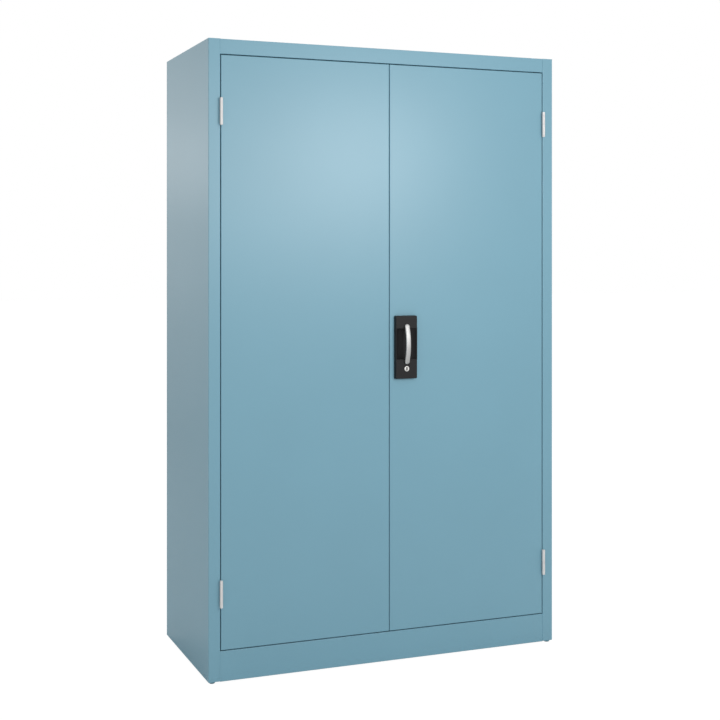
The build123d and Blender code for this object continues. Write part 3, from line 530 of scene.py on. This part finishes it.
def domed_foot(corner):
    """A levelling foot: a domed pad under a threaded stem."""
    low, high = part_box(f"foot_{corner}")
    height = high.z - low.z
    root = FOOT_STEM_RADIUS - FOOT_THREAD_DEPTH
    thread_start = FOOT_PAD_HEIGHT + FOOT_THREAD_START
    thread_end = height - FOOT_STEM_END
    shape = bmesh.new()
    sole = circle(shape, FOOT_SOLE * FOOT_PAD_RADIUS, segments=48)
    bmesh.ops.contextual_create(shape, geom=rim(sole))
    tip = turned(shape, sole, [
        *((across * FOOT_PAD_RADIUS, up * MM) for across, up in FOOT_DOME),
        (FOOT_PAD_RADIUS, FOOT_PAD_HEIGHT - FOOT_PAD_ROUNDING),
        (FOOT_PAD_RADIUS - FOOT_PAD_ROUNDING, FOOT_PAD_HEIGHT),
        (FOOT_STEM_RADIUS, FOOT_PAD_HEIGHT),
        *thread(FOOT_STEM_RADIUS, root, thread_start, thread_end, FOOT_THREAD_PITCH),
        (root, height),
    ])
    bmesh.ops.contextual_create(shape, geom=rim(tip))
    set_at(shape, [((low.x + high.x) / 2, (low.y + high.y) / 2, low.z)])
    piece(f"domed_foot_{corner}", shape, "carcass", "foot_plastic", [f"foot_{corner}"])


for foot_corner in ("front_left", "front_right", "rear_left", "rear_right"):
    domed_foot(foot_corner)


# ---------------------------------------------------------------- spot weld marks
WELD_RADIUS = 3.5 * MM
WELD_RIDGE = 0.3 * MM
WELD_DISH = 0.05 * MM
# A mark from its foot to its middle: shares of its radius, and heights above the sheet.
WELD_PROFILE = ((0.86, WELD_RIDGE), (0.7, WELD_RIDGE), (0.5, WELD_DISH))
WELD_PITCH = 110.0 * MM
WELD_FROM_END = 25.0 * MM
RIB_FLANGE = 14.0 * MM
RIB_SHEET = 1.0 * MM


def weld_marks(side):
    """Two rows of spot weld marks on the flanges of a door's rib."""
    low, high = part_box(f"{side}_door_rib")
    run = high.z - low.z - 2 * WELD_FROM_END
    steps = round(run / WELD_PITCH)
    shape = bmesh.new()
    foot = circle(shape, WELD_RADIUS, segments=24)
    dish = turned(shape, foot, [(across * WELD_RADIUS, height) for across, height in WELD_PROFILE])
    bmesh.ops.contextual_create(shape, geom=rim(dish))
    bmesh.ops.contextual_create(shape, geom=rim(foot))
    facing_back(shape)
    set_at(shape, [
        (x, low.y + RIB_SHEET, low.z + WELD_FROM_END + run * step / steps)
        for x in (low.x + RIB_FLANGE / 2, high.x - RIB_FLANGE / 2)
        for step in range(steps + 1)
    ])
    piece(f"{side}_door_weld_marks", shape, f"{side}_door", "body_paint")


for door_side in ("left", "right"):
    weld_marks(door_side)


# ---------------------------------------------------------------- camera
SENSOR = 36.0
LENS = 61.343
SHIFT_X = 0.09804
SHIFT_Y = -0.14806
CAMERA_PLACE = (-1.64994, -3.7942, 1.30368)
CAMERA_YAW = math.radians(20.2046)


def level_camera():
    """A level camera to the left of the cabinet's front; the shifts keep its upright lines upright."""
    data = bpy.data.cameras.new("camera")
    data.sensor_width = SENSOR
    data.lens = LENS
    data.shift_x = SHIFT_X
    data.shift_y = SHIFT_Y
    camera = bpy.data.objects.new("camera", data)
    camera.location = CAMERA_PLACE
    camera.rotation_euler = (math.pi / 2, 0.0, -CAMERA_YAW)
    bpy.context.scene.collection.objects.link(camera)
    bpy.context.scene.camera = camera


level_camera()


# ---------------------------------------------------------------- floor and light
FLOOR_REACH = 30.0
FLOOR_GLOW = 1.08
FLOOR_GLOW_SHARE = 0.9
AMBIENT = 0.62

# Each lamp's place, the point it faces, its width and height, all in metres, and its power in watts.
LAMPS = {
    "front_left": ((-1.6, -5.4, 2.0), (0.0, -0.2, 1.2), 2.0, 2.0, 42.0),
    "front_right": ((0.9, -2.6, 1.85), (-0.1, -0.2, 1.5), 0.6, 0.4, 9.5),
    "front_near": ((0.4, -2.1, 1.65), (-0.15, -0.2, 1.4), 1.2, 0.7, 10.5),
    "side_high": ((-2.2, 4.5, 2.3), (-0.6, 0.0, 1.6), 1.0, 0.7, 1.6),
    "side_middle": ((-2.2, 4.5, 1.9), (-0.6, 0.0, 1.5), 0.6, 0.5, 2.5),
    "side_low": ((-2.2, 4.5, 0.8), (-0.6, 0.0, 0.9), 2.0, 1.2, 2.0),
    "rear_right": ((2.5, 4.5, 2.6), (0.3, 0.0, 1.2), 2.0, 2.0, 60.0),
    "overhead": ((0.0, 0.8, 4.5), (0.0, 0.2, 2.0), 1.5, 1.0, 20.0),
}


def floor():
    """A wide pale floor that the camera sees white, with a soft trace of the cabinet's shadow."""
    plane = bmesh.new()
    bmesh.ops.create_grid(plane, x_segments=1, y_segments=1, size=FLOOR_REACH)
    mesh = bpy.data.meshes.new("floor")
    plane.to_mesh(mesh)
    plane.free()
    floor_object = bpy.data.objects.new("floor", mesh)
    bpy.context.scene.collection.objects.link(floor_object)
    material, shader = new_finish("pale_floor", (0.8, 0.8, 0.8), roughness=0.9)
    nodes = material.node_tree.nodes
    glow = nodes.new("ShaderNodeEmission")
    glow.inputs["Strength"].default_value = FLOOR_GLOW
    rays = nodes.new("ShaderNodeLightPath")
    mix = nodes.new("ShaderNodeMixShader")
    share = nodes.new("ShaderNodeMath")
    share.operation = "MULTIPLY"
    share.inputs[1].default_value = FLOOR_GLOW_SHARE
    link(material, rays.outputs["Is Camera Ray"], share.inputs[0])
    link(material, share.outputs["Value"], mix.inputs["Fac"])
    link(material, shader.outputs["BSDF"], mix.inputs[1])
    link(material, glow.outputs["Emission"], mix.inputs[2])
    link(material, mix.outputs["Shader"], nodes["Material Output"].inputs["Surface"])
    mesh.materials.append(material)


def direct_sight(tree):
    """1 for what is seen, straight, in a reflection or through glass; 0 for what only lights."""
    rays = tree.nodes.new("ShaderNodeLightPath")
    seen = rays.outputs["Is Camera Ray"]
    for kind in ("Is Glossy Ray", "Is Transmission Ray"):
        either = tree.nodes.new("ShaderNodeMath")
        either.operation = "MAXIMUM"
        tree.links.new(seen, either.inputs[0])
        tree.links.new(rays.outputs[kind], either.inputs[1])
        seen = either.outputs["Value"]
    return seen


def studio_world():
    """White to the camera and in reflections; a weaker white as the light from all round."""
    world = bpy.data.worlds.new("studio")
    bpy.context.scene.world = world
    world.use_nodes = True
    tree = world.node_tree
    background = tree.nodes["Background"]
    background.inputs["Color"].default_value = (1.0, 1.0, 1.0, 1.0)
    strength = tree.nodes.new("ShaderNodeMapRange")
    strength.inputs["To Min"].default_value = AMBIENT
    strength.inputs["To Max"].default_value = 1.0
    tree.links.new(direct_sight(tree), strength.inputs["Value"])
    tree.links.new(strength.outputs["Result"], background.inputs["Strength"])


def softbox(name, place, target, width, height, power):
    """A rectangular lamp that faces a point of the cabinet."""
    data = bpy.data.lights.new(name, "AREA")
    data.shape = "RECTANGLE"
    data.size = width
    data.size_y = height
    data.energy = power
    lamp = bpy.data.objects.new(name, data)
    lamp.location = place
    aim = Vector(target) - Vector(place)
    lamp.rotation_euler = aim.to_track_quat("-Z", "Y").to_euler()
    bpy.context.scene.collection.objects.link(lamp)


floor()
studio_world()
for lamp_name, lamp_setting in LAMPS.items():
    softbox(lamp_name, *lamp_setting)

bpy.context.scene.view_settings.view_transform = "Standard"
